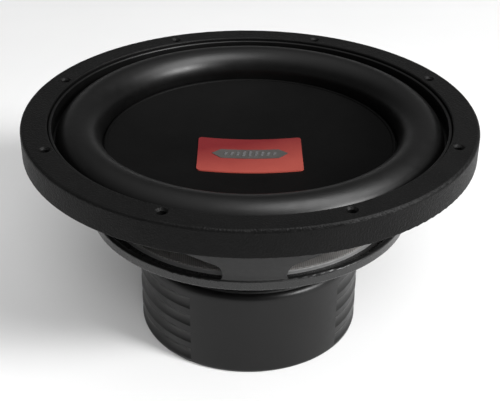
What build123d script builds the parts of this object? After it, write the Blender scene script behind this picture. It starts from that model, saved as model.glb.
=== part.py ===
from build123d import *
import math
import os

# Car subwoofer speaker: a 320 mm wide, 168 mm tall driver that stands on its magnet.
# Millimetres. +Z is the axis, from the magnet to the dish. The origin is the centre of
# the flat base. The front of the speaker is -Y, and the terminals are at the back, +Y.

# ---------------------------------------------------------------- driving dimensions

# whole speaker
HEIGHT = 168.5
OUTER_R = 160.0
MOUNT_Z = 149.0  # the plane that meets the baffle board
CUTOUT_R = 139.5  # the basket's collar, which drops into the baffle's opening
BOLT_CIRCLE_R = 148.0
BOLT_COUNT = 8
BOLT_TURN = 22.5  # degrees from +X to the first screw hole
BOLT_HOLE_R = 2.75

# flange, gasket and trim ring
FLANGE_R = 157.0
FLANGE_T = 2.0
GASKET_T = 1.5
GASKET_INNER_R = 141.0
RING_INNER_R = 141.6
RING_STEP_W = 3.3  # the ring's foot steps back this far to clear the surround's landing
RING_GAP = 0.3
RING_TOP_EDGE_R = 2.2
RING_MOUTH_EDGE_R = 1.2
RING_LOW_EDGE_R = 1.0
SINK_R = 4.2  # countersink in the ring's screw holes

# basket
WALL = 2.5
SLOPE_LIFT = 0.7  # inside, the spokes' slope starts and ends this much higher
FLANGE_EDGE_R = 0.6
COLLAR_LOW_Z = 142.5
RIM_R = 115.5
RIM_LOW_Z = 97.0
RIM_BAND_H = 7.4  # the folded band round the rim, which is the windows' lower edge
RIM_BAND_T = 4.0
RIM_BAND_OUT = 0.7  # the band stands this proud of the spokes
RIM_BAND_Z = 99.4
RIM_BAND_CORNER_R = 1.3
WINDOW_LOW_Z = 100.5
WINDOW_HIGH_Z = 137.5
WINDOW_COUNT = 4
WINDOW_CORNER_R = 8.0
WINDOW_SLOPE_H = 18.0  # the windows' upper corners slope down to the spokes
WINDOW_SLOPE_W = 36.0
WINDOW_INNER_R = 100.5
WINDOW_OUTER_R = 149.5
SPOKE_HALF_ANGLE = 10.0
NECK_R = 85.0
NECK_TOP_R = 97.0
NECK_WALL = 2.0
PLATE_BORE_R = 36.0
SCREW_COUNT = 6
SCREW_CIRCLE_R = 60.0
SCREW_R = 2.5
SCREW_SLACK = 0.1
SCREW_LENGTH = 10.0
SCREW_HOLE_DEPTH = 9.0
SCREW_HEAD_R = 4.5
SCREW_HEAD_H = 2.6
HEX_R = 2.0
HEX_DEPTH = 1.6

# motor
MAGNET_R = 78.4
MAGNET_BORE_R = 42.0
MAGNET_T = 26.2
MAGNET_BEVEL = 1.0
TOP_PLATE_R = 76.5
TOP_PLATE_T = 12.0
TOP_PLATE_EDGE_R = 2.5
BACK_PLATE_T = 11.5
GAP_R = 34.9  # bore of the top plate
POLE_R = 31.3
POLE_RISE = 1.5  # the pole stands this far above the top plate
SLEEVE_LOW_Z = 43.5
SLEEVE_T = 0.7
VENT_R = 14.0
VENT_FLARE = 3.0
VENT_SEAT_H = 2.0
MESH_T = 0.8
MESH_PITCH = 3.2
MESH_HOLE_R = 1.3
MESH_RINGS = 4
BOOT_R = 82.2
BOOT_INNER_R = 78.6
BOOT_FLOOR_T = 3.5
BOOT_SHOULDER_R = 6.2
BOOT_SHOULDER_H = 6.0  # the smooth wall ends this far below the magnet's top
BOOT_OPENING_R = 22.0
BOOT_FOOT_R = 3.0
BOOT_TURN = 8.5  # the smooth panel sits this many degrees off the front
BOOT_PANEL_ANGLE = 81.0
GROOVE_DEPTH = 1.4
GROOVE_R = 9.0
GROOVE_LOW_Z = 8.5
GROOVE_PITCH = 14.8
GROOVE_COUNT = 4

# moving assembly
COIL_INNER_R = 32.0
FORMER_T = 0.4
WINDING_T = 1.8
WINDING_H = 30.0
FORMER_TAIL = 1.5  # bare tube below the winding
FORMER_TOP_Z = 115.5
COLLAR_T = 1.0
COLLAR_Z = 100.5
COLLAR_H = 12.0
DISH_CENTRE_Z = 132.3
DISH_EDGE_Z = 148.3
DISH_EDGE_R = 103.0
DISH_T = 1.5
BOND_R = 97.0  # the glue joint of cone, surround and dish runs outward from here
BOND_Z = 143.1  # where the surround's inner flange lies on the cone's rim
CONE_RIM_R = 104.6
CONE_RIM_T = 1.5
CONE_NECK_Z = 109.5
CONE_NECK_H = 2.6  # height of the glue foot on the neck collar
CONE_NECK_W = 2.0

# surround
ROLL_R = 16.0
ROLL_CENTRE_R = 121.2
SURROUND_T = 1.8
BEAD_TOP_Z = 166.5
BEAD_W = 2.4
BEAD_GAP = 0.4  # between the bead and the trim ring
BEAD_EDGE_R = 0.9
LANDING_W = 2.9  # the landing's edge lies this far under the trim ring

# spider
SPIDER_T = 0.9
SPIDER_WAVE = 2.25  # radius of a corrugation
SPIDER_WAVES = 6
SPIDER_WAVE_R = 37.0  # the first wave starts here
SPIDER_R = 105.0
SPIDER_RING_R = 105.5
SPIDER_RING_INNER_R = 92.5
SPIDER_RING_T = 3.0

# badge
BADGE_W = 75.5
BADGE_D = 51.0
BADGE_T = 0.9
BADGE_CORNER_R = 3.0
PLATE_T = 0.4  # the printed plate on the badge
BARS_T = 0.3
PLATE_Y = 3.0
BADGE_TURN = -1.4  # glued on slightly off square

# push terminal, on the rear spoke
TERMINAL_FACE_Y = 118.0
TERMINAL_BACK_Y = 136.0
TERMINAL_W = 30.0
TERMINAL_LOW_Z = 83.5
TERMINAL_TOP_Z = 106.7
EAR_W = 41.0  # the riveted ears of the terminal, and the tab of the basket behind them
EAR_T = 3.5
EAR_H = 10.0
TAB_LOW_Z = 85.5
TAB_H = 21.5
POST_X = 8.0
POST_Y = 129.5
POST_BORE_R = 4.3
POST_FLOOR_Z = 85.5
STEM_R = 4.2
STEM_LOW_Z = 93.0
CAP_R = 4.8
CAP_LOW_Z = 110.5
CAP_T = 6.0
RIVET_X = 17.8
RIVET_Z = 91.5
RIVET_R = 1.5
RIVET_HOLE_R = 1.6
RIVET_HEAD_R = 2.5
RIVET_HEAD_H = 1.2
TAG_Z = 104.0
TAG_T = 0.8
TAG_Y = 123.5
TAG_D = 5.0
TAG_OUTER_X = 27.0
TAG_INNER_X = 12.5
PRESS = 3.5  # travel of a button
WIRE_HOLE_R = 2.1
WIRE_HOLE_Z = 97.5
SPRING_R = 3.3
SPRING_WIRE_R = 0.45
SPRING_H = 6.3
SPRING_TURNS = 4
EYELET_R = 2.8
EYELET_BORE_R = 1.1
EYELET_T = 1.4
EYELET_CIRCLE_R = 67.0

# ---------------------------------------------------------------- derived heights

FLANGE_LOW_Z = MOUNT_Z + GASKET_T
FLANGE_TOP_Z = FLANGE_LOW_Z + FLANGE_T
RING_STEP_Z = FLANGE_TOP_Z + SURROUND_T
BACK_PLATE_TOP_Z = BOOT_FLOOR_T + BACK_PLATE_T
MAGNET_TOP_Z = BACK_PLATE_TOP_Z + 2 * MAGNET_T
TOP_PLATE_Z = MAGNET_TOP_Z + TOP_PLATE_T
BASKET_FLOOR_Z = TOP_PLATE_Z + WALL
SHELF_Z = RIM_LOW_Z + WALL
RIM_BAND_TOP_Z = RIM_BAND_Z + RIM_BAND_H / 2
SPIDER_Z = SHELF_Z + SPIDER_RING_T + SPIDER_T / 2
FORMER_R = COIL_INNER_R + FORMER_T
COLLAR_R = FORMER_R + COLLAR_T
WINDING_LOW_Z = MAGNET_TOP_Z + (TOP_PLATE_T - WINDING_H) / 2
DISH_DEPTH = DISH_EDGE_Z - DISH_CENTRE_Z
DISH_SPHERE_R = (DISH_EDGE_R**2 + DISH_DEPTH**2) / (2 * DISH_DEPTH)


def dish_z(radius):
    """Height of the dish's upper surface at this radius."""
    return DISH_CENTRE_Z + DISH_SPHERE_R - math.sqrt(DISH_SPHERE_R**2 - radius**2)


def band(inner_r, outer_r, low_z, high_z):
    """A rectangle in the radius and height plane, drawn in the active sketch."""
    with Locations(((inner_r + outer_r) / 2, (low_z + high_z) / 2)):
        Rectangle(outer_r - inner_r, high_z - low_z)


def outer_circles(piece):
    """The circular edges of a turned piece, smallest first."""
    return piece.edges().filter_by(GeomType.CIRCLE).sort_by(SortBy.RADIUS)


UPWARD = (Align.CENTER, Align.CENTER, Align.MIN)  # a cylinder that rises from its place
DOWNWARD = (Align.CENTER, Align.CENTER, Align.MAX)

os.makedirs("parts", exist_ok=True)


def save(piece, label):
    piece.part.label = label
    export_step(piece.part, f"parts/{label}.step")


# ---------------------------------------------------------------- basket and flange

with BuildPart() as window_cutter:
    with BuildSketch(Plane.XZ):
        band(WINDOW_INNER_R, WINDOW_OUTER_R, WINDOW_LOW_Z, WINDOW_HIGH_Z)
    revolve(axis=Axis.Z, revolution_arc=360 / WINDOW_COUNT - 2 * SPOKE_HALF_ANGLE)
    top = window_cutter.faces().sort_by(Axis.Z)[-1]
    upper_corners = top.edges().filter_by(GeomType.LINE)
    chamfer(upper_corners, WINDOW_SLOPE_W, WINDOW_SLOPE_H, reference=top)
    corners = window_cutter.edges().filter_by(GeomType.LINE)
    fillet(corners.filter_by(Axis.Z, reverse=True), WINDOW_CORNER_R)

with BuildPart() as basket:
    with BuildSketch(Plane.XZ):
        with BuildLine():
            Polyline(
                (FLANGE_R, FLANGE_TOP_Z),
                (FLANGE_R, FLANGE_LOW_Z),
                (CUTOUT_R, FLANGE_LOW_Z),
                (CUTOUT_R, COLLAR_LOW_Z),
                (RIM_R, RIM_BAND_TOP_Z),
                (RIM_R, RIM_LOW_Z),
                (NECK_TOP_R, RIM_LOW_Z),
                (NECK_R, TOP_PLATE_Z),
                (PLATE_BORE_R, TOP_PLATE_Z),
                (PLATE_BORE_R, BASKET_FLOOR_Z),
                (NECK_R - NECK_WALL, BASKET_FLOOR_Z),
                (NECK_TOP_R - NECK_WALL, SHELF_Z),
                (RIM_R - WALL, SHELF_Z),
                (RIM_R - WALL, RIM_BAND_TOP_Z + SLOPE_LIFT),
                (CUTOUT_R - WALL, COLLAR_LOW_Z + SLOPE_LIFT),
                (CUTOUT_R - WALL, FLANGE_TOP_Z),
                close=True,
            )
        make_face()
    revolve(axis=Axis.Z)
    fillet(outer_circles(basket).group_by(SortBy.RADIUS)[-1], FLANGE_EDGE_R)
    with PolarLocations(0, WINDOW_COUNT, start_angle=SPOKE_HALF_ANGLE):
        add(window_cutter.part, mode=Mode.SUBTRACT)
    with BuildSketch(Plane.XZ):
        with Locations((RIM_R + RIM_BAND_OUT - RIM_BAND_T / 2, RIM_BAND_Z)):
            RectangleRounded(RIM_BAND_T, RIM_BAND_H, RIM_BAND_CORNER_R)
    revolve(axis=Axis.Z)
    # tab on the rear spoke that carries the terminal
    with Locations((0, TERMINAL_FACE_Y - EAR_T / 2, TAB_LOW_Z + TAB_H / 2)):
        Box(EAR_W, EAR_T, TAB_H)
    with Locations((0, 0, FLANGE_TOP_Z)):
        with PolarLocations(BOLT_CIRCLE_R, BOLT_COUNT, start_angle=BOLT_TURN):
            Hole(BOLT_HOLE_R, depth=2 * FLANGE_T)
    with Locations((0, 0, BASKET_FLOOR_Z)):
        with PolarLocations(SCREW_CIRCLE_R, SCREW_COUNT):
            Hole(SCREW_R + SCREW_SLACK, depth=2 * WALL)
    for side in (-1, 1):
        with Locations(Plane((side * RIVET_X, TERMINAL_FACE_Y, RIVET_Z), z_dir=(0, 1, 0))):
            Hole(RIVET_HOLE_R, depth=EAR_T + 1.5)
save(basket, "basket")

with BuildPart() as flange_gasket:
    with BuildSketch(Plane.XY.offset(MOUNT_Z)):
        Circle(FLANGE_R)
        Circle(GASKET_INNER_R, mode=Mode.SUBTRACT)
        with PolarLocations(BOLT_CIRCLE_R, BOLT_COUNT, start_angle=BOLT_TURN):
            Circle(BOLT_HOLE_R, mode=Mode.SUBTRACT)
    extrude(amount=GASKET_T)
save(flange_gasket, "flange_gasket")

with BuildPart() as trim_ring:
    with BuildSketch(Plane.XZ):
        with BuildLine():
            Polyline(
                (RING_INNER_R, HEIGHT),
                (RING_INNER_R, RING_STEP_Z),
                (RING_INNER_R + RING_STEP_W, RING_STEP_Z),
                (RING_INNER_R + RING_STEP_W, FLANGE_TOP_Z),
                (FLANGE_R + RING_GAP, FLANGE_TOP_Z),
                (FLANGE_R + RING_GAP, MOUNT_Z),
                (OUTER_R, MOUNT_Z),
                (OUTER_R, HEIGHT),
                close=True,
            )
        make_face()
    revolve(axis=Axis.Z)
    top_edges = outer_circles(trim_ring).group_by(Axis.Z)[-1].sort_by(SortBy.RADIUS)
    fillet(top_edges[-1], RING_TOP_EDGE_R)
    mouth_edge = outer_circles(trim_ring).group_by(Axis.Z)[-1].sort_by(SortBy.RADIUS)[0]
    fillet(mouth_edge, RING_MOUTH_EDGE_R)
    low_edge = outer_circles(trim_ring).group_by(Axis.Z)[0].sort_by(SortBy.RADIUS)[-1]
    fillet(low_edge, RING_LOW_EDGE_R)
    with Locations((0, 0, HEIGHT)):
        with PolarLocations(BOLT_CIRCLE_R, BOLT_COUNT, start_angle=BOLT_TURN):
            CounterSinkHole(BOLT_HOLE_R, SINK_R, depth=20, counter_sink_angle=90)
save(trim_ring, "trim_ring")

# ---------------------------------------------------------------- motor

with BuildPart() as top_plate:
    with BuildSketch(Plane.XY.offset(MAGNET_TOP_Z)):
        Circle(TOP_PLATE_R)
        Circle(GAP_R, mode=Mode.SUBTRACT)
    extrude(amount=TOP_PLATE_T)
    fillet(outer_circles(top_plate).group_by(SortBy.RADIUS)[-1], TOP_PLATE_EDGE_R)
    with Locations((0, 0, TOP_PLATE_Z)):
        with PolarLocations(SCREW_CIRCLE_R, SCREW_COUNT):
            Hole(SCREW_R + SCREW_SLACK, depth=SCREW_HOLE_DEPTH)
save(top_plate, "top_plate")

MAGNETS = {"lower_magnet": BACK_PLATE_TOP_Z, "upper_magnet": BACK_PLATE_TOP_Z + MAGNET_T}
for label, low_z in MAGNETS.items():
    with BuildPart() as magnet:
        with BuildSketch(Plane.XY.offset(low_z)):
            Circle(MAGNET_R)
            Circle(MAGNET_BORE_R, mode=Mode.SUBTRACT)
        extrude(amount=MAGNET_T)
        chamfer(outer_circles(magnet).group_by(SortBy.RADIUS)[-1], MAGNET_BEVEL)
    save(magnet, label)

with BuildPart() as yoke:
    with BuildSketch(Plane.XZ):
        with BuildLine():
            Polyline(
                (VENT_R + VENT_FLARE, BOOT_FLOOR_T),
                (MAGNET_R, BOOT_FLOOR_T),
                (MAGNET_R, BACK_PLATE_TOP_Z),
                (POLE_R, BACK_PLATE_TOP_Z),
                (POLE_R, SLEEVE_LOW_Z),
                (POLE_R - SLEEVE_T, SLEEVE_LOW_Z),
                (POLE_R - SLEEVE_T, TOP_PLATE_Z + POLE_RISE),
                (VENT_R + VENT_FLARE, TOP_PLATE_Z + POLE_RISE),
                (VENT_R, TOP_PLATE_Z - VENT_FLARE),
                (VENT_R, BOOT_FLOOR_T + VENT_SEAT_H),
                (VENT_R + VENT_FLARE, BOOT_FLOOR_T + VENT_SEAT_H),
                close=True,
            )
        make_face()
    revolve(axis=Axis.Z)
save(yoke, "yoke")

with BuildPart() as shorting_sleeve:
    with BuildSketch(Plane.XY.offset(SLEEVE_LOW_Z)):
        Circle(POLE_R)
        Circle(POLE_R - SLEEVE_T, mode=Mode.SUBTRACT)
    extrude(amount=TOP_PLATE_Z + POLE_RISE - SLEEVE_LOW_Z)
save(shorting_sleeve, "shorting_sleeve")

with BuildPart() as vent_mesh:
    with BuildSketch(Plane.XY.offset(BOOT_FLOOR_T + 1.0)):
        Circle(VENT_R + VENT_FLARE - 0.1)
        for ring in range(1, MESH_RINGS + 1):
            with PolarLocations(MESH_PITCH * ring, 6 * ring):
                RegularPolygon(MESH_HOLE_R, 6, mode=Mode.SUBTRACT)
        RegularPolygon(MESH_HOLE_R, 6, mode=Mode.SUBTRACT)
    extrude(amount=MESH_T)
save(vent_mesh, "vent_mesh")

with BuildPart() as groove_cutter:
    with BuildSketch(Plane.XZ):
        with Locations((BOOT_R + GROOVE_R - GROOVE_DEPTH, 0)):
            Circle(GROOVE_R)
    revolve(axis=Axis.Z, revolution_arc=180 - BOOT_PANEL_ANGLE)

with BuildPart() as magnet_boot:
    shoulder_turn = math.degrees(math.acos(1 - (BOOT_R - BOOT_INNER_R) / BOOT_SHOULDER_R))
    with BuildSketch(Plane.XZ):
        with BuildLine():
            shoulder_middle = (BOOT_R - BOOT_SHOULDER_R, MAGNET_TOP_Z - BOOT_SHOULDER_H)
            shoulder = CenterArc(shoulder_middle, BOOT_SHOULDER_R, 0, shoulder_turn)
            Polyline(
                shoulder @ 1,
                (BOOT_INNER_R, BOOT_FLOOR_T),
                (BOOT_OPENING_R, BOOT_FLOOR_T),
                (BOOT_OPENING_R, 0),
                (BOOT_R, 0),
                shoulder @ 0,
            )
        make_face()
    revolve(axis=Axis.Z)
    base_edges = outer_circles(magnet_boot).group_by(Axis.Z)[0]
    fillet(base_edges.sort_by(SortBy.RADIUS)[-1], BOOT_FOOT_R)
    for k in range(GROOVE_COUNT):
        with Locations((0, 0, GROOVE_LOW_Z + GROOVE_PITCH * k)):
            with PolarLocations(0, 2, start_angle=BOOT_TURN - 90 + BOOT_PANEL_ANGLE / 2):
                add(groove_cutter.part, mode=Mode.SUBTRACT)
save(magnet_boot, "magnet_boot")

with BuildPart() as plate_screws:
    with Locations((0, 0, BASKET_FLOOR_Z)):
        with PolarLocations(SCREW_CIRCLE_R, SCREW_COUNT):
            Cylinder(SCREW_HEAD_R, SCREW_HEAD_H, align=UPWARD)
            Cylinder(SCREW_R, SCREW_LENGTH, align=DOWNWARD)
    fillet(plate_screws.edges().group_by(Axis.Z)[-1], 1.0)
    with BuildSketch(Plane.XY.offset(BASKET_FLOOR_Z + SCREW_HEAD_H)):
        with PolarLocations(SCREW_CIRCLE_R, SCREW_COUNT):
            RegularPolygon(HEX_R, 6)
    extrude(amount=-HEX_DEPTH, mode=Mode.SUBTRACT)
save(plate_screws, "plate_screws")

# ---------------------------------------------------------------- moving assembly

with BuildPart() as former:
    with BuildSketch(Plane.XY.offset(WINDING_LOW_Z - FORMER_TAIL)):
        Circle(FORMER_R)
        Circle(COIL_INNER_R, mode=Mode.SUBTRACT)
    extrude(amount=FORMER_TOP_Z - WINDING_LOW_Z + FORMER_TAIL)
save(former, "former")

with BuildPart() as voice_coil:
    with BuildSketch(Plane.XZ):
        band(FORMER_R, FORMER_R + WINDING_T, WINDING_LOW_Z, WINDING_LOW_Z + WINDING_H)
    revolve(axis=Axis.Z)
    fillet(outer_circles(voice_coil).group_by(SortBy.RADIUS)[-1], 0.5)
save(voice_coil, "voice_coil")

with BuildPart() as neck_collar:
    with BuildSketch(Plane.XY.offset(COLLAR_Z)):
        Circle(COLLAR_R)
        Circle(FORMER_R, mode=Mode.SUBTRACT)
    extrude(amount=COLLAR_H)
save(neck_collar, "neck_collar")

with BuildPart() as cone:
    with BuildSketch(Plane.XZ):
        with BuildLine():
            Polyline(
                (CONE_RIM_R, BOND_Z - CONE_RIM_T),
                (CONE_RIM_R, BOND_Z),
                (BOND_R, BOND_Z),
                (COLLAR_R + 1.2, CONE_NECK_Z + CONE_NECK_H),
                (COLLAR_R, CONE_NECK_Z + CONE_NECK_H),
                (COLLAR_R, CONE_NECK_Z),
                (COLLAR_R + CONE_NECK_W, CONE_NECK_Z),
                (BOND_R + 0.6, BOND_Z - CONE_RIM_T),
                close=True,
            )
        make_face()
    revolve(axis=Axis.Z)
save(cone, "cone")

with BuildPart() as dish:
    with BuildSketch(Plane.XZ):
        with BuildLine():
            top_arc = ThreePointArc(
                (0, DISH_CENTRE_Z),
                (DISH_EDGE_R / 2, dish_z(DISH_EDGE_R / 2)),
                (DISH_EDGE_R - 1.5, dish_z(DISH_EDGE_R - 1.5)),
            )
            low_arc = ThreePointArc(
                (0, DISH_CENTRE_Z - DISH_T),
                (BOND_R / 2, dish_z(BOND_R / 2) - DISH_T),
                (BOND_R - 0.5, dish_z(BOND_R - 0.5) - DISH_T),
            )
            Polyline(
                top_arc @ 1,
                (DISH_EDGE_R - 1, DISH_EDGE_Z + 0.4),
                (DISH_EDGE_R + 1, DISH_EDGE_Z + 0.4),
                (DISH_EDGE_R + 1, BOND_Z + SURROUND_T),
                (BOND_R, BOND_Z + SURROUND_T),
                low_arc @ 1,
            )
            Line(low_arc @ 0, top_arc @ 0)
        make_face()
    revolve(axis=Axis.Z)
    fillet(outer_circles(dish).group_by(Axis.Z)[-1], 0.8)
save(dish, "dish")

with BuildPart() as surround:
    with BuildSketch(Plane.XZ):
        inner_foot = ROLL_CENTRE_R - ROLL_R
        landing_edge = ROLL_CENTRE_R + math.sqrt(ROLL_R**2 - SURROUND_T**2)
        with BuildLine():
            Polyline(
                (inner_foot, FLANGE_TOP_Z),
                (inner_foot, BOND_Z + SURROUND_T),
                (BOND_R, BOND_Z + SURROUND_T),
                (BOND_R, BOND_Z),
                (inner_foot + SURROUND_T, BOND_Z),
                (inner_foot + SURROUND_T, FLANGE_TOP_Z),
            )
            ThreePointArc(
                (inner_foot + SURROUND_T, FLANGE_TOP_Z),
                (ROLL_CENTRE_R, FLANGE_TOP_Z + ROLL_R - SURROUND_T),
                (ROLL_CENTRE_R + ROLL_R - SURROUND_T, FLANGE_TOP_Z),
            )
            Polyline(
                (ROLL_CENTRE_R + ROLL_R - SURROUND_T, FLANGE_TOP_Z),
                (RING_INNER_R + LANDING_W, FLANGE_TOP_Z),
                (RING_INNER_R + LANDING_W, RING_STEP_Z),
                (RING_INNER_R - BEAD_GAP, RING_STEP_Z),
                (RING_INNER_R - BEAD_GAP, BEAD_TOP_Z),
                (RING_INNER_R - BEAD_GAP - BEAD_W, BEAD_TOP_Z),
                (RING_INNER_R - BEAD_GAP - BEAD_W, RING_STEP_Z),
                (landing_edge, RING_STEP_Z),
            )
            ThreePointArc(
                (landing_edge, RING_STEP_Z),
                (ROLL_CENTRE_R, FLANGE_TOP_Z + ROLL_R),
                (inner_foot, FLANGE_TOP_Z),
            )
        make_face()
    revolve(axis=Axis.Z)
    bead_edges = outer_circles(surround).filter_by_position(Axis.Z, BEAD_TOP_Z - 0.1, BEAD_TOP_Z + 0.1)
    fillet(bead_edges.sort_by(SortBy.RADIUS)[-2:], BEAD_EDGE_R)
save(surround, "surround")

with BuildPart() as spider_ring:
    with BuildSketch(Plane.XZ):
        band(SPIDER_RING_INNER_R, SPIDER_RING_R, SHELF_Z, SHELF_Z + SPIDER_RING_T)
    revolve(axis=Axis.Z)
    fillet(outer_circles(spider_ring).group_by(SortBy.RADIUS)[-1].sort_by(Axis.Z)[-1], 0.8)
save(spider_ring, "spider_ring")

with BuildPart() as spider:
    wave_end = SPIDER_WAVE_R + 4 * SPIDER_WAVES * SPIDER_WAVE
    with BuildSketch(Plane.XZ):
        band(COLLAR_R, SPIDER_WAVE_R + SPIDER_T / 2, SPIDER_Z - SPIDER_T / 2, SPIDER_Z + SPIDER_T / 2)
        band(wave_end - SPIDER_T / 2, SPIDER_R, SPIDER_Z - SPIDER_T / 2, SPIDER_Z + SPIDER_T / 2)
        for k in range(2 * SPIDER_WAVES):
            middle = (SPIDER_WAVE_R + SPIDER_WAVE * (2 * k + 1), SPIDER_Z)
            with BuildLine():
                over = CenterArc(middle, SPIDER_WAVE + SPIDER_T / 2, 180 * (k % 2), 180)
                under = CenterArc(middle, SPIDER_WAVE - SPIDER_T / 2, 180 * (k % 2), 180)
                Line(over @ 0, under @ 0)
                Line(over @ 1, under @ 1)
            make_face()
    revolve(axis=Axis.Z)
save(spider, "spider")

# ---------------------------------------------------------------- badge on the dish

BADGE_LAYERS = {
    "badge": (0.0, BADGE_T),
    "badge_plate": (BADGE_T, BADGE_T + PLATE_T),
    "badge_bars": (BADGE_T + PLATE_T, BADGE_T + PLATE_T + BARS_T),
}
badge_plane = Plane((0, -1, DISH_CENTRE_Z - 1)).rotated((0, 0, BADGE_TURN))
for label, (low, high) in BADGE_LAYERS.items():
    with BuildPart() as layer:
        with BuildSketch(Plane.XZ):
            with BuildLine():
                under = ThreePointArc((0, dish_z(0) + low), (25, dish_z(25) + low), (50, dish_z(50) + low))
                over = ThreePointArc((0, dish_z(0) + high), (25, dish_z(25) + high), (50, dish_z(50) + high))
                Line(under @ 0, over @ 0)
                Line(under @ 1, over @ 1)
            make_face()
        revolve(axis=Axis.Z)
        with BuildSketch(badge_plane):
            if label == "badge":
                RectangleRounded(BADGE_W, BADGE_D, BADGE_CORNER_R)
            elif label == "badge_plate":
                with Locations((0, PLATE_Y)):
                    Polygon((-27.5, 0), (-21, -6.5), (21, -6.5), (27.5, 0), (21, 6.5), (-21, 6.5))
            else:
                for k in range(-4, 5):
                    half = 4.2 - 0.6 * abs(k)
                    with Locations((4.4 * k, PLATE_Y)):
                        Polygon((-1.1, -half), (0.7, -half), (1.7, half), (-0.1, half), align=None)
        extrude(amount=10, mode=Mode.INTERSECT)
    save(layer, label)

# ---------------------------------------------------------------- push terminal

with BuildPart() as terminal_base:
    block_d = TERMINAL_BACK_Y - TERMINAL_FACE_Y
    block_h = TERMINAL_TOP_Z - TERMINAL_LOW_Z
    with Locations((0, TERMINAL_FACE_Y + block_d / 2, TERMINAL_LOW_Z + block_h / 2)):
        Box(TERMINAL_W, block_d, block_h)
    fillet(terminal_base.edges().filter_by(Axis.Z).group_by(Axis.Y)[-1], 2.0)
    fillet(terminal_base.edges().group_by(Axis.Z)[-1].filter_by(Axis.Y, reverse=True), 0.8)
    with Locations((0, TERMINAL_FACE_Y + EAR_T / 2, RIVET_Z)):
        Box(EAR_W, EAR_T, EAR_H)
    for side in (-1, 1):
        with Locations((side * POST_X, POST_Y, TERMINAL_TOP_Z)):
            Hole(POST_BORE_R, depth=TERMINAL_TOP_Z - POST_FLOOR_Z)
        with Locations(Plane((side * POST_X, TERMINAL_BACK_Y, WIRE_HOLE_Z), z_dir=(0, 1, 0))):
            Hole(WIRE_HOLE_R, depth=14.5)
        with Locations(Plane((side * RIVET_X, TERMINAL_FACE_Y + EAR_T, RIVET_Z), z_dir=(0, 1, 0))):
            Hole(RIVET_HOLE_R, depth=EAR_T)
        with Locations((side * (TAG_INNER_X + 1.5), TAG_Y, TAG_Z + TAG_T / 2)):
            Box(3, TAG_D, TAG_T, mode=Mode.SUBTRACT)
save(terminal_base, "terminal_base")

with BuildPart() as terminal_rivets:
    for side in (-1, 1):
        with Locations(Plane((side * RIVET_X, TERMINAL_FACE_Y + EAR_T, RIVET_Z), z_dir=(0, 1, 0))):
            Cylinder(RIVET_HEAD_R, RIVET_HEAD_H, align=UPWARD)
            Cylinder(RIVET_R, 2 * EAR_T, align=DOWNWARD)
        with Locations(Plane((side * RIVET_X, TERMINAL_FACE_Y - EAR_T, RIVET_Z), z_dir=(0, -1, 0))):
            Cylinder(RIVET_HEAD_R - 0.1, 1, align=UPWARD)
    fillet(terminal_rivets.edges().group_by(Axis.Y)[-1], 0.7)
save(terminal_rivets, "terminal_rivets")

with BuildPart() as terminal_tags:
    for side in (-1, 1):
        with Locations((side * (TAG_OUTER_X + TAG_INNER_X) / 2, TAG_Y, TAG_Z + TAG_T / 2)):
            Box(TAG_OUTER_X - TAG_INNER_X, TAG_D, TAG_T)
save(terminal_tags, "terminal_tags")

for name, side in (("positive", 1), ("negative", -1)):
    with BuildPart() as button:
        with Locations((side * POST_X, POST_Y, CAP_LOW_Z)):
            Cylinder(CAP_R, CAP_T, align=UPWARD)
            Cylinder(STEM_R, CAP_LOW_Z - STEM_LOW_Z, align=DOWNWARD)
        fillet(button.edges().group_by(Axis.Z)[-1], 1.2)
        with Locations(Plane((side * POST_X, POST_Y + 6, WIRE_HOLE_Z + PRESS), z_dir=(0, 1, 0))):
            Hole(WIRE_HOLE_R, depth=12)
    save(button, f"button_{name}")

    with BuildPart() as spring:
        with BuildLine():
            coil_foot = (side * POST_X, POST_Y, POST_FLOOR_Z + SPRING_WIRE_R)
            coil = Helix(SPRING_H / SPRING_TURNS, SPRING_H, SPRING_R, center=coil_foot)
        with BuildSketch(Plane(coil @ 0, z_dir=coil % 0)):
            Circle(SPRING_WIRE_R)
        sweep(is_frenet=True)
    save(spring, f"spring_{name}")

# ---------------------------------------------------------------- lead eyelets

cone_slope = math.atan2(BOND_Z - CONE_RIM_T - CONE_NECK_Z, BOND_R + 0.6 - COLLAR_R - CONE_NECK_W)
eyelet_z = CONE_NECK_Z + (EYELET_CIRCLE_R - COLLAR_R - CONE_NECK_W) * math.tan(cone_slope)

with BuildPart() as lead_eyelets:
    for turn in (78, 102):
        across = Vector(math.cos(math.radians(turn)), math.sin(math.radians(turn)), 0)
        seat = across * EYELET_CIRCLE_R + Vector(0, 0, eyelet_z)
        downwards = across * math.sin(cone_slope) - Vector(0, 0, math.cos(cone_slope))
        with Locations(Plane(seat, z_dir=downwards)):
            Cylinder(EYELET_R, EYELET_T, align=UPWARD)
            Cylinder(EYELET_BORE_R, EYELET_T, align=UPWARD, mode=Mode.SUBTRACT)
save(lead_eyelets, "lead_eyelets")
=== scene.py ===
"""Looks of the car subwoofer speaker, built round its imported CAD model. Metres, +Z up, front at -Y."""

import math

import bpy
import numpy as np
from mathutils import Matrix, Quaternion, Vector


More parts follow.
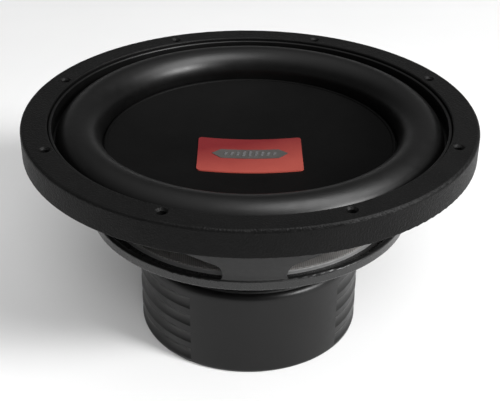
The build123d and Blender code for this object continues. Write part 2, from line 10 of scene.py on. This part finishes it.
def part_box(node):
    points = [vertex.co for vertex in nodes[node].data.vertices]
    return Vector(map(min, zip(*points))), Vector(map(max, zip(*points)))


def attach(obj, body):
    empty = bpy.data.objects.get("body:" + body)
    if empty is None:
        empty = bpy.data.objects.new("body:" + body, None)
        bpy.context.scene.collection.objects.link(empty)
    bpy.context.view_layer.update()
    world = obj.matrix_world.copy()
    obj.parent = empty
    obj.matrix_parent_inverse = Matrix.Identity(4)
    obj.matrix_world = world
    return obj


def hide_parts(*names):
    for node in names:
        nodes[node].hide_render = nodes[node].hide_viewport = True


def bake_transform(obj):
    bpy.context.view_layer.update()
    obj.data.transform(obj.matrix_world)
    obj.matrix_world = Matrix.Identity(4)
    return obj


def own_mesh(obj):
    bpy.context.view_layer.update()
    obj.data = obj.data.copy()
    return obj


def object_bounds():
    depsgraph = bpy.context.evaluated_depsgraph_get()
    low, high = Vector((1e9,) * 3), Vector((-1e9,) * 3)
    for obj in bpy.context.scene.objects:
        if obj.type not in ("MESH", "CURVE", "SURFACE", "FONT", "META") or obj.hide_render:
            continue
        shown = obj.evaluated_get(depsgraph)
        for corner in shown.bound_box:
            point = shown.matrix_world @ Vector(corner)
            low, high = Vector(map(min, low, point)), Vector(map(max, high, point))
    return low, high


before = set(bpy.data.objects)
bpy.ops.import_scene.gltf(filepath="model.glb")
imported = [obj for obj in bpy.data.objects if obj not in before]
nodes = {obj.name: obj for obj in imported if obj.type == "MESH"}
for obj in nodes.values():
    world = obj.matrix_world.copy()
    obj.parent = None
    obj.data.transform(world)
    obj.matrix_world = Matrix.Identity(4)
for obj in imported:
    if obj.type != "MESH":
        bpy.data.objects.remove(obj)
cad_low, cad_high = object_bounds()

MM = 0.001
HEIGHT = cad_high.z
OUTER_R = cad_high.x
BAND_TOP_Z = 102 * MM  # the basket's paint turns from satin to sandy above the rim's band
ROLL_R = 16 * MM  # the surround's half roll
ROLL_CENTRE_R = 121.2 * MM
SURROUND_T = 1.8 * MM
BOND_R = 97 * MM  # inner edge of the surround's glue flange
BEAD_OUT = 3.3 * MM  # from the landing's edge in to the upstanding bead
BEAD_W = 2.4 * MM
BEAD_DROP = 2 * MM  # the bead's top is this far below the roll's
BEAD_EDGE_R = 0.9 * MM
SPIDER_T = 0.9 * MM
SPIDER_WAVE = 2.25 * MM
SPIDER_WAVES = 12
SPIDER_WAVE_R = 37 * MM  # where the first wave starts
SPIDER_BORE_R = 33.4 * MM
SPRING_WIRE_R = 0.45 * MM
SPRING_TURNS = 4
FLOOR_HALF = 6.0
AIM = Vector((0, 0, 0.1))  # the lamps face this point on the axis


def corner(node):
    """Lowest and highest corners of a CAD node, as two vectors."""
    low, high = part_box(node)
    return Vector(low), Vector(high)


# ------------------------------------------------------------------ node helpers


class Tree:
    """A material's node tree, with its shader, and short ways to add and join nodes."""

    def __init__(self, name):
        self.material = bpy.data.materials.new(name)
        self.material.use_nodes = True
        self.tree = self.material.node_tree
        self.shader = self.tree.nodes["Principled BSDF"]
        self.object_point = self.add("ShaderNodeTexCoord").outputs["Object"]

    def add(self, kind):
        return self.tree.nodes.new(kind)

    def join(self, source, node, socket):
        self.tree.links.new(source, node.inputs[socket])

    def shade(self, **values):
        for key, value in values.items():
            words = key.replace("_", " ").title().replace("Ior", "IOR")
            self.shader.inputs[words].default_value = value

    def noise(self, scale, detail=3.0, roughness=0.5, stretch=(1, 1, 1)):
        node = self.add("ShaderNodeTexNoise")
        node.inputs["Scale"].default_value = scale
        node.inputs["Detail"].default_value = detail
        node.inputs["Roughness"].default_value = roughness
        point = self.object_point
        if stretch != (1, 1, 1):
            mapping = self.add("ShaderNodeMapping")
            mapping.inputs["Scale"].default_value = stretch
            self.join(self.object_point, mapping, "Vector")
            point = mapping.outputs["Vector"]
        self.join(point, node, "Vector")
        return node.outputs["Fac"]

    def cells(self, scale):
        node = self.add("ShaderNodeTexVoronoi")
        node.feature = "SMOOTH_F1"
        node.inputs["Scale"].default_value = scale
        self.join(self.object_point, node, "Vector")
        return node.outputs["Distance"]

    def spread(self, value, low, high, start=0.25, end=0.75):
        node = self.add("ShaderNodeMapRange")
        node.inputs["From Min"].default_value = start
        node.inputs["From Max"].default_value = end
        node.inputs["To Min"].default_value = low
        node.inputs["To Max"].default_value = high
        self.join(value, node, "Value")
        return node.outputs["Result"]

    def tint(self, value, low, high, start=0.3, end=0.7):
        node = self.add("ShaderNodeValToRGB")
        node.color_ramp.elements[0].position = start
        node.color_ramp.elements[1].position = end
        node.color_ramp.elements[0].color = (*low, 1)
        node.color_ramp.elements[1].color = (*high, 1)
        self.join(value, node, "Fac")
        return node.outputs["Color"]

    def maths(self, operation, first, second):
        node = self.add("ShaderNodeMath")
        node.operation = operation
        for socket, value in ((0, first), (1, second)):
            if isinstance(value, (int, float)):
                node.inputs[socket].default_value = value
            else:
                self.tree.links.new(value, node.inputs[socket])
        return node.outputs["Value"]

    def bump(self, height, strength, distance, after=None):
        node = self.add("ShaderNodeBump")
        node.inputs["Strength"].default_value = strength
        node.inputs["Distance"].default_value = distance
        self.join(height, node, "Height")
        if after is not None:
            self.join(after, node, "Normal")
        return node.outputs["Normal"]

    def finish(self, colour, roughness, normal):
        self.join(colour, self.shader, "Base Color")
        self.join(roughness, self.shader, "Roughness")
        self.join(normal, self.shader, "Normal")
        return self.material

    def along(self, axis):
        """Place along X, Y or Z in the part's own frame, in metres."""
        split = self.add("ShaderNodeSeparateXYZ")
        self.join(self.object_point, split, "Vector")
        return split.outputs[axis]

    def radius(self):
        """Distance from the speaker's axis, in metres."""
        x, y = self.along("X"), self.along("Y")
        squares = self.maths("ADD", self.maths("MULTIPLY", x, x), self.maths("MULTIPLY", y, y))
        return self.maths("SQRT", squares, 0)


def grey(value, warm=0.0):
    return (value * (1 + warm), value, value * (1 - warm))


# ------------------------------------------------------------------ materials


def pebbled_rubber():
    """The trim ring: moulded rubber with a leather-like pebble of about 1 mm."""
    t = Tree("pebbled_rubber")
    t.shade(specular_ior_level=0.11)
    pebble = t.cells(900)
    colour = t.tint(t.noise(35, 5, 0.6), grey(0.0014), grey(0.003, 0.02))
    rough = t.spread(t.noise(500, 3), 0.42, 0.56)
    normal = t.bump(pebble, 0.5, 0.0006)
    normal = t.bump(t.noise(60, 3), 0.08, 0.002, normal)
    return t.finish(colour, rough, normal)


def smooth_rubber(name, shade, low, high, grain=0.12, gloss=0.35):
    t = Tree(name)
    t.shade(specular_ior_level=gloss)
    colour = t.tint(t.noise(28, 5, 0.6), grey(shade * 0.7), grey(shade * 1.3, 0.02))
    rough = t.spread(t.noise(160, 4), low, high)
    normal = t.bump(t.noise(1800, 2), grain, 0.0003)
    return t.finish(colour, rough, normal)


def dish_skin():
    """The dish: matte black skin with a fine even grain."""
    t = Tree("dish_skin")
    t.shade(specular_ior_level=0.06)
    colour = t.tint(t.noise(20, 6, 0.65), grey(0.001), grey(0.0022, 0.02))
    rough = t.spread(t.noise(220, 3), 0.52, 0.64)
    normal = t.bump(t.noise(1500, 3), 0.25, 0.0003)
    return t.finish(colour, rough, normal)


def paint(name, shade, low, high, gloss):
    """Black paint on pressed steel, with faint orange peel."""
    t = Tree(name)
    t.shade(specular_ior_level=gloss)
    colour = t.tint(t.noise(45, 5, 0.6), grey(shade * 0.85), grey(shade * 1.2))
    rough = t.spread(t.noise(300, 4), low, high)
    normal = t.bump(t.noise(420, 2), 0.05, 0.0006)
    return t.finish(colour, rough, normal)


def basket_paint():
    """Black paint, satin on the rim's folded band and the shelf, and sandy on the spokes above it."""
    t = Tree("basket_paint")
    t.shade(specular_ior_level=0.5)
    colour = t.tint(t.noise(45, 5, 0.6), grey(0.006), grey(0.01))
    above_band = t.spread(t.along("Z"), 0, 0.5, BAND_TOP_Z, BAND_TOP_Z + 4 * MM)
    rough = t.maths("ADD", t.spread(t.noise(300, 4), 0.24, 0.32), above_band)
    normal = t.bump(t.noise(900, 3), 0.16, 0.0005)
    return t.finish(colour, rough, normal)


def metal(name, colour, low, high, turned=False, brushed=(1, 1, 1)):
    t = Tree(name)
    t.shade(metallic=1.0)
    if turned:
        wave = t.add("ShaderNodeTexNoise")
        wave.noise_dimensions = "1D"
        wave.inputs["Scale"].default_value = 3000
        wave.inputs["Detail"].default_value = 2
        t.join(t.maths("ADD", t.radius(), t.along("Z")), wave, "W")
        marks = wave.outputs["Fac"]
    else:
        marks = t.noise(900, 4, 0.6, brushed)
    dark = tuple(c * 0.75 for c in colour)
    tinted = t.tint(t.noise(60, 5, 0.6), dark, colour)
    rough = t.spread(marks, low, high)
    normal = t.bump(marks, 0.08, 0.0002)
    return t.finish(tinted, rough, normal)


def plastic(name, colour, low, high, grain=0.06, coat=0.0):
    t = Tree(name)
    t.shade(specular_ior_level=0.5, coat_weight=coat)
    dark = tuple(c * 0.82 for c in colour)
    tinted = t.tint(t.noise(90, 4), dark, colour)
    rough = t.spread(t.noise(400, 3), low, high)
    normal = t.bump(t.noise(1400, 2), grain, 0.0003)
    return t.finish(tinted, rough, normal)


def foam():
    t = Tree("gasket_foam")
    t.shade(specular_ior_level=0.2)
    holes = t.cells(1300)
    colour = t.tint(holes, grey(0.012), grey(0.035), 0.1, 0.6)
    return t.finish(colour, t.spread(t.noise(300), 0.8, 0.95), t.bump(holes, 0.7, 0.0006))


def paper_pulp():
    """The cone's pressed paper: matted fibres."""
    t = Tree("paper_pulp")
    t.shade(specular_ior_level=0.3)
    fibres = t.noise(700, 6, 0.75, (1, 1, 0.35))
    colour = t.tint(fibres, grey(0.02, 0.03), grey(0.042, 0.05))
    return t.finish(colour, t.spread(fibres, 0.7, 0.9), t.bump(fibres, 0.5, 0.0005))


def woven_cloth():
    """The spider: pale grey resin-dipped cloth in a plain weave of about 0.7 mm."""
    t = Tree("woven_cloth")
    t.shade(specular_ior_level=0.35)
    waves = []
    for direction in ("X", "Y"):
        wave = t.add("ShaderNodeTexWave")
        wave.bands_direction = direction
        wave.inputs["Scale"].default_value = 230
        wave.inputs["Distortion"].default_value = 0.5
        wave.inputs["Detail"].default_value = 1
        t.join(t.object_point, wave, "Vector")
        waves.append(wave.outputs["Fac"])
    weave = t.maths("MAXIMUM", *waves)
    colour = t.tint(t.maths("MULTIPLY", weave, t.noise(40, 4)), grey(0.12, 0.03), grey(0.3, 0.04), 0.1, 0.6)
    return t.finish(colour, t.spread(weave, 0.75, 0.55, 0, 1), t.bump(weave, 0.5, 0.0004))


def wound_wire():
    """The coil: enamelled copper wire laid side by side, 0.5 mm a turn."""
    t = Tree("wound_wire")
    t.shade(metallic=1.0)
    turns = t.maths("SINE", t.maths("MULTIPLY", t.along("Z"), 2 * math.pi / (0.5 * MM)), 0)
    colour = t.tint(turns, (0.16, 0.05, 0.02), (0.62, 0.25, 0.09), 0.1, 0.9)
    return t.finish(colour, t.spread(t.noise(300), 0.25, 0.4), t.bump(turns, 0.5, 0.0003))


def ferrite():
    t = Tree("ferrite")
    t.shade(specular_ior_level=0.4)
    specks = t.noise(1100, 5, 0.7)
    colour = t.tint(specks, grey(0.03), grey(0.075))
    return t.finish(colour, t.spread(specks, 0.5, 0.75), t.bump(specks, 0.2, 0.0003))


def red_film_painted_shade():
    """The badge's red film, with painted shade: it fades to a darker red towards its back left corner."""
    t = Tree("red_film_painted_shade")
    t.shade(specular_ior_level=0.25)
    # painted shade: the darker red towards the back left corner stands in for shade, not for the film's own
    # colour
    slant = t.maths("SUBTRACT", t.along("Y"), t.maths("MULTIPLY", t.along("X"), 0.3))
    painted_shade = t.maths("ADD", slant, t.maths("MULTIPLY", t.noise(60, 4), 12 * MM))
    front_red, shaded_red = (0.33, 0.06, 0.045), (0.13, 0.008, 0.01)
    colour = t.tint(t.spread(painted_shade, 0, 1, -22 * MM, 26 * MM), front_red, shaded_red, 0, 1)
    return t.finish(colour, t.spread(t.noise(500, 3), 0.36, 0.48), t.bump(t.noise(1600, 2), 0.08, 0.0002))


MATERIALS = {
    "trim_ring": pebbled_rubber(),
    "basket": basket_paint(),
    "top_plate": paint("gloss_paint", 0.005, 0.14, 0.2, 0.5),
    "magnet_boot": smooth_rubber("boot_rubber", 0.0025, 0.32, 0.42, 0.12, 0.3),
    "surround": smooth_rubber("surround_rubber", 0.0015, 0.32, 0.4, 0.12, 0.26),
    "dish": dish_skin(),
    "flange_gasket": foam(),
    "cone": paper_pulp(),
    "spider": woven_cloth(),
    "voice_coil": wound_wire(),
    "upper_magnet": ferrite(),
    "badge": red_film_painted_shade(),
    "badge_plate": plastic("badge_grey", grey(0.06, 0.05), 0.3, 0.4, 0.05),
    "badge_bars": metal("badge_silver", (0.72, 0.72, 0.73), 0.22, 0.36),
    "spider_ring": plastic("landing_plastic", grey(0.22), 0.4, 0.5),
    "neck_collar": plastic("resin_collar", (0.10, 0.07, 0.04), 0.5, 0.65, 0.2),
    "former": metal("former_foil", (0.62, 0.62, 0.64), 0.25, 0.4, turned=True),
    "yoke": metal("zinc_steel", (0.42, 0.42, 0.43), 0.25, 0.4, turned=True),
    "shorting_sleeve": metal("drawn_sleeve", (0.62, 0.62, 0.64), 0.2, 0.32, brushed=(1, 1, 0.05)),
    "vent_mesh": metal("vent_steel", (0.16, 0.16, 0.17), 0.35, 0.5),
    "plate_screws": metal("black_zinc", (0.12, 0.12, 0.125), 0.3, 0.45),
    "terminal_base": plastic("terminal_plastic", grey(0.02), 0.4, 0.55, 0.3),
    "terminal_rivets": metal("rivet_alloy", (0.6, 0.6, 0.61), 0.25, 0.4),
    "terminal_tags": metal("brass", (0.75, 0.53, 0.2), 0.2, 0.35, brushed=(0.1, 1, 1)),
    "button_positive": plastic("button_red", (0.42, 0.015, 0.015), 0.25, 0.35, 0.06, 0.2),
    "button_negative": plastic("button_black", grey(0.016), 0.25, 0.35, 0.06, 0.2),
    "spring_positive": metal("spring_wire", (0.55, 0.55, 0.57), 0.2, 0.3),
}
MATERIALS["lower_magnet"] = MATERIALS["upper_magnet"]
MATERIALS["spring_negative"] = MATERIALS["spring_positive"]
MATERIALS["lead_eyelets"] = MATERIALS["terminal_tags"]

for name, node in nodes.items():
    node.data.materials.clear()
    node.data.materials.append(MATERIALS[name])

# ------------------------------------------------------------------ soft pieces


def lathe(name, profile, steps=256):
    """A closed ring turned about Z from a closed outline of (radius, height) points, in metres."""
    turns = np.linspace(0, 2 * math.pi, steps, endpoint=False)
    points = [(r * math.cos(a), r * math.sin(a), z) for a in turns for r, z in profile]
    count = len(profile)
    faces = []
    for i in range(steps):
        for j in range(count):
            a, b = i * count + j, i * count + (j + 1) % count
            c, d = (i + 1) % steps * count + (j + 1) % count, (i + 1) % steps * count + j
            faces.append((a, d, c, b))
    mesh = bpy.data.meshes.new(name)
    mesh.from_pydata(points, [], faces)
    mesh.polygons.foreach_set("use_smooth", [True] * len(faces))
    mesh.set_sharp_from_angle(angle=math.radians(40))
    piece = bpy.data.objects.new(name, mesh)
    bpy.context.collection.objects.link(piece)
    return piece


def arc(centre, radius, start, end, steps):
    """Points round an arc, in degrees."""
    turns = np.radians(np.linspace(start, end, steps + 1))
    return [(centre[0] + radius * math.cos(a), centre[1] + radius * math.sin(a)) for a in turns]


def radial_blend(piece):
    """Bakes the piece's placement into its mesh."""
    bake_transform(piece)


def show(piece, node):
    """The piece stands for this CAD node, with its material."""
    piece.data.materials.append(MATERIALS[node])
    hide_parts(node)


def add_surround():
    """The half-roll edge: inner glue flange, roll, outer landing and the upstanding bead."""
    low, high = corner("surround")
    foot = high.z - ROLL_R
    middle = (ROLL_CENTRE_R, foot)
    inner = ROLL_CENTRE_R - ROLL_R
    bond, rim = low.z, high.x
    bead_out, bead_top = rim - BEAD_OUT, high.z - BEAD_DROP
    bead_in = bead_out - BEAD_W
    outline = [(BOND_R, bond + SURROUND_T), (BOND_R, bond), (inner + SURROUND_T, bond)]
    outline += arc(middle, ROLL_R - SURROUND_T, 180, 0, 40)
    outline += [(rim, foot), (rim, foot + SURROUND_T), (bead_out, foot + SURROUND_T)]
    outline += arc((bead_out - BEAD_EDGE_R, bead_top - BEAD_EDGE_R), BEAD_EDGE_R, 0, 90, 4)
    outline += arc((bead_in + BEAD_EDGE_R, bead_top - BEAD_EDGE_R), BEAD_EDGE_R, 90, 180, 4)
    outline += [(bead_in, foot + SURROUND_T)]
    outline += arc(middle, ROLL_R, math.degrees(math.asin(SURROUND_T / ROLL_R)), 180, 48)
    outline += [(inner, bond + SURROUND_T)]
    piece = lathe("surround_roll", outline, 320)
    show(piece, "surround")
    radial_blend(piece)


def add_spider():
    """The corrugated centring disc of cloth."""
    low, high = corner("spider")
    flat = (low.z + high.z) / 2
    half = SPIDER_T / 2
    over, under = [(SPIDER_BORE_R, flat + half)], [(SPIDER_BORE_R, flat - half)]
    for k in range(SPIDER_WAVES):
        middle = (SPIDER_WAVE_R + SPIDER_WAVE * (2 * k + 1), flat)
        rising = 1 if k % 2 == 0 else -1
        turns = (180, 0) if k % 2 == 0 else (180, 360)
        over += arc(middle, SPIDER_WAVE + rising * half, *turns, 8)
        under += arc(middle, SPIDER_WAVE - rising * half, *turns, 8)
    over.append((high.x, flat + half))
    under.append((high.x, flat - half))
    piece = lathe("spider_cloth", under + over[::-1])
    show(piece, "spider")
    radial_blend(piece)


def add_spring(node):
    """A terminal button's coil spring."""
    low, high = corner(node)
    middle = (low + high) / 2
    height = high.z - low.z
    coil_r = (high.x - low.x) / 2 - SPRING_WIRE_R
    around, along = 10, 160
    points, faces = [], []
    for i in range(along + 1):
        turn = 2 * math.pi * SPRING_TURNS * i / along
        outward = Vector((math.cos(turn), math.sin(turn), 0))
        rise = low.z + SPRING_WIRE_R + (height - 2 * SPRING_WIRE_R) * i / along
        centre = Vector((middle.x, middle.y, rise)) + outward * coil_r
        for j in range(around):
            spin = 2 * math.pi * j / around
            across = outward * math.cos(spin) + Vector((0, 0, math.sin(spin)))
            points.append(centre + SPRING_WIRE_R * across)
    for i in range(along):
        for j in range(around):
            a, b = i * around + j, i * around + (j + 1) % around
            faces.append((a, b, b + around, a + around))
    faces += [tuple(range(around))[::-1], tuple(range(along * around, (along + 1) * around))]
    mesh = bpy.data.meshes.new(node + "_coil")
    mesh.from_pydata(points, [], faces)
    mesh.polygons.foreach_set("use_smooth", [len(face) == 4 for face in faces])
    piece = bpy.data.objects.new(node + "_coil", mesh)
    bpy.context.collection.objects.link(piece)
    show(piece, node)
    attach(piece, "frame")
    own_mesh(piece)


add_surround()
add_spider()
add_spring("spring_positive")
add_spring("spring_negative")

# ------------------------------------------------------------------ floor, lights and camera


def add_floor():
    mesh = bpy.data.meshes.new("floor")
    corners = [(x * FLOOR_HALF, y * FLOOR_HALF, 0) for x, y in ((-1, -1), (1, -1), (1, 1), (-1, 1))]
    mesh.from_pydata(corners, [], [(0, 1, 2, 3)])
    floor = bpy.data.objects.new("floor", mesh)
    bpy.context.collection.objects.link(floor)
    t = Tree("studio_paper")
    t.shade(specular_ior_level=0.2)
    colour = t.tint(t.noise(3, 4), grey(0.80), grey(0.83))
    rough = t.spread(t.noise(40), 0.6, 0.7)
    normal = t.bump(t.noise(500, 2), 0.03, 0.0005)
    mesh.materials.append(t.finish(colour, rough, normal))


def toward(azimuth, elevation, distance):
    """A place seen from the speaker: azimuth from the front towards +X, elevation above the horizon."""
    turn, rise = math.radians(azimuth), math.radians(elevation)
    flat = distance * math.cos(rise)
    return AIM + Vector((flat * math.sin(turn), -flat * math.cos(turn), distance * math.sin(rise)))


def add_softbox(name, place, size, watts):
    """A rectangular lamp that faces the speaker."""
    data = bpy.data.lights.new(name, "AREA")
    data.shape = "RECTANGLE"
    data.size, data.size_y = size
    data.energy = watts
    lamp = bpy.data.objects.new(name, data)
    lamp.location = place
    lamp.rotation_mode = "QUATERNION"
    lamp.rotation_quaternion = (AIM - place).to_track_quat("-Z", "Y")
    bpy.context.collection.objects.link(lamp)
    return lamp


def add_camera():
    """A 76 mm lens looking 30 degrees down from the front. Places are in units of the ring's radius."""
    pitch, turn, roll = math.radians(30.133), math.radians(-1.94), math.radians(0.544)
    distance, shift_x, shift_up = 4.6535, 0.0026, 0.392
    look = Vector((0, math.cos(pitch), -math.sin(pitch)))
    up = Vector((0, math.sin(pitch), math.cos(pitch)))
    place = (-distance * look - shift_up * up + Vector((shift_x, 0, 0))) * OUTER_R
    spin = Matrix.Rotation(turn, 3, "Z")
    data = bpy.data.cameras.new("camera")
    data.sensor_width = 36
    data.lens = 75.95
    camera = bpy.data.objects.new("camera", data)
    camera.location = spin @ place + Vector((0, 0, HEIGHT))
    camera.rotation_mode = "QUATERNION"
    facing = (spin @ look).to_track_quat("-Z", "Y")
    camera.rotation_quaternion = facing @ Quaternion((0, 0, 1), roll)
    bpy.context.collection.objects.link(camera)
    bpy.context.scene.camera = camera


def add_world():
    """A soft white dome: pale at the horizon like a studio's walls, dim above it and bright overhead."""
    levels = ((0.0, 0.7), (0.07, 0.65), (0.16, 0.12), (0.5, 0.12), (1.0, 0.9))
    world = bpy.data.worlds.new("studio")
    world.use_nodes = True
    tree = world.node_tree
    point = tree.nodes.new("ShaderNodeTexCoord")
    split = tree.nodes.new("ShaderNodeSeparateXYZ")
    ramp = tree.nodes.new("ShaderNodeValToRGB")
    ramp.color_ramp.interpolation = "EASE"
    stops = ramp.color_ramp.elements
    stops.remove(stops[1])
    for height, level in levels:
        stop = stops[0] if height == 0 else stops.new(height)
        stop.position = height
        stop.color = (level, level, level, 1)
    tree.links.new(point.outputs["Generated"], split.inputs["Vector"])
    tree.links.new(split.outputs["Z"], ramp.inputs["Fac"])
    tree.links.new(ramp.outputs["Color"], tree.nodes["Background"].inputs["Color"])
    bpy.context.scene.world = world


add_floor()
add_softbox("key", toward(58, 33, 3.0), (0.7, 0.7), 115)
fill = add_softbox("fill", toward(0, 42, 3.0), (1.2, 1.2), 41)
fill.visible_glossy = False
panel = add_softbox("panel", toward(76, 65, 1.5), (0.9, 1.1), 27)
panel.visible_diffuse = False
add_world()
add_camera()
bpy.context.scene.view_settings.view_transform = "Standard"
